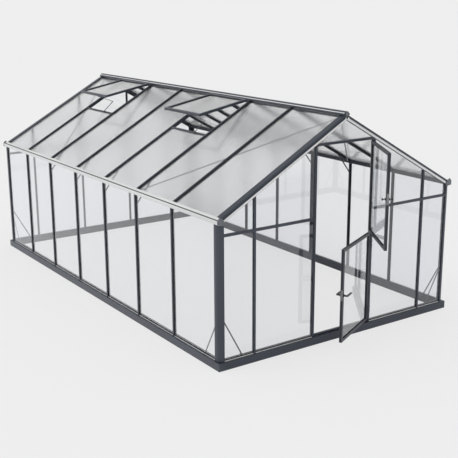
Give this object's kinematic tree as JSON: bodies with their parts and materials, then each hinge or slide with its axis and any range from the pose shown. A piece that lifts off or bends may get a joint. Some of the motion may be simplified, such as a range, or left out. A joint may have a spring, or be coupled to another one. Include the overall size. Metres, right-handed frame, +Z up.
{
  "type": "glass greenhouse",
  "caption": "Aluminium-framed glass greenhouse with a pitched roof, a split two-leaf door in the front gable and propped roof vents.",
  "frame": {"origin": "middle of the front base rail's underside, below the doorway", "axes": "+X to the right across the front gable, +Y from the doorway to the back gable, +Z up"},
  "size_m": [3.092, 5.9817, 2.3503],
  "materials": {
    "frame": "satin powder coat, anthracite",
    "leaf": "satin powder coat, anthracite",
    "gutter": "satin off-white",
    "caps": "matt grey",
    "seal": "pale glazing strip",
    "strip": "satin",
    "handle": "satin black",
    "wall_glass": "clear",
    "roof_glass": "satin, diffusing"
  },
  "bodies": {
    "house": {"base_rail_front": "frame", "base_rail_back": "frame", "base_rail_left": "frame", "base_rail_right": "frame", "corner_posts": "frame", "wall_bars_left": "frame", "wall_bars_right": "frame", "gable_bars_front": "frame", "gable_bars_back": "frame", "door_jamb_left": "frame", "door_jamb_right": "frame", "door_head": "frame", "gable_rails_front": "frame", "gable_rails_back": "frame", "gutter_left": "gutter", "gutter_right": "gutter", "eave_beam_left": "frame", "eave_beam_right": "frame", "ridge_beam": "frame", "end_caps": "caps", "rafters_left": "frame", "rafters_right": "frame", "verges_front": "frame", "verges_back": "frame", "verge_seals": "seal", "corner_braces": "strip", "knee_braces": "strip", "wind_braces": "strip", "wall_panes_left": "wall_glass", "wall_panes_right": "wall_glass", "gable_panes_front": "wall_glass", "gable_panes_back": "wall_glass", "roof_panes_left": "roof_glass", "roof_panes_right": "roof_glass", "vent_frames": "frame", "vent_panes": "roof_glass", "vent_sills": "frame", "vent_openers": "strip"},
    "lower_leaf": {"lower_leaf_frame": "leaf", "lower_leaf_pane": "wall_glass", "lower_leaf_lever": "handle"},
    "upper_leaf": {"upper_leaf_frame": "leaf", "upper_leaf_pane": "wall_glass", "upper_leaf_catch": "handle"}
  },
  "joints": [
    {"name": "lower_leaf_hinge", "type": "hinge", "parent": "house", "child": "lower_leaf", "pos_m": [0.367, -0.024, 0.6], "axis": [0, 0, 1], "range_deg": [-26.7, 83.3]},
    {"name": "upper_leaf_hinge", "type": "hinge", "parent": "house", "child": "upper_leaf", "pos_m": [0.367, -0.024, 1.55], "axis": [0, 0, 1], "range_deg": [-59, 51]}
  ]
}
